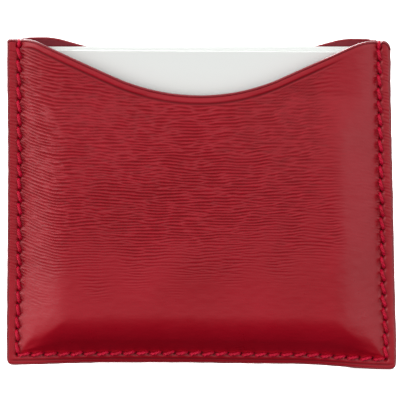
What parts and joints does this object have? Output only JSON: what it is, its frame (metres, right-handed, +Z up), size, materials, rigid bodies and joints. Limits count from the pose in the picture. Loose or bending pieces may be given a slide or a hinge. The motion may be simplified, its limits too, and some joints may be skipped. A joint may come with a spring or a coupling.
{
  "type": "card holder",
  "caption": "Single-pocket leather card holder with a thumb scoop in its mouth, sewn on three sides, holding a stack of blank cards that slide out.",
  "frame": {"origin": "bottom centre of the outer box, standing on the bottom seam", "axes": "+Z up towards the mouth, +Y out of the back, -Y out of the front with the deep scoop, +X to the right seen from the front"},
  "size_m": [0.1, 0.011, 0.0848],
  "materials": {
    "leather": "red calf leather with an embossed horizontal wave grain, satin",
    "lining": "dark red smooth lining leather, matt",
    "edge_paint": "dark red edge paint, burnished",
    "thread": "waxed bright red thread",
    "card": "blank white card, satin"
  },
  "bodies": {
    "sleeve": {"front_panel": "leather", "front_lining": "lining", "front_mouth_edge_paint": "edge_paint", "back_panel": "leather", "back_lining": "lining", "back_mouth_edge_paint": "edge_paint", "left_edge_paint": "edge_paint", "bottom_edge_paint": "edge_paint", "right_edge_paint": "edge_paint", "left_mouth_wrap": "thread", "right_mouth_wrap": "thread", "left_front_stitches": "thread", "bottom_front_stitches": "thread", "right_front_stitches": "thread", "left_back_stitches": "thread", "bottom_back_stitches": "thread", "right_back_stitches": "thread"},
    "card_1": {"card_1": "card"},
    "card_2": {"card_2": "card"},
    "card_3": {"card_3": "card"},
    "card_4": {"card_4": "card"}
  },
  "joints": [
    {"name": "card_1_slide", "type": "slide", "parent": "sleeve", "child": "card_1", "axis": [0, 0, 1], "range_m": [0, 0.08]},
    {"name": "card_2_slide", "type": "slide", "parent": "sleeve", "child": "card_2", "axis": [0, 0, 1], "range_m": [0, 0.08]},
    {"name": "card_3_slide", "type": "slide", "parent": "sleeve", "child": "card_3", "axis": [0, 0, 1], "range_m": [0, 0.08]},
    {"name": "card_4_slide", "type": "slide", "parent": "sleeve", "child": "card_4", "axis": [0, 0, 1], "range_m": [0, 0.08]}
  ]
}
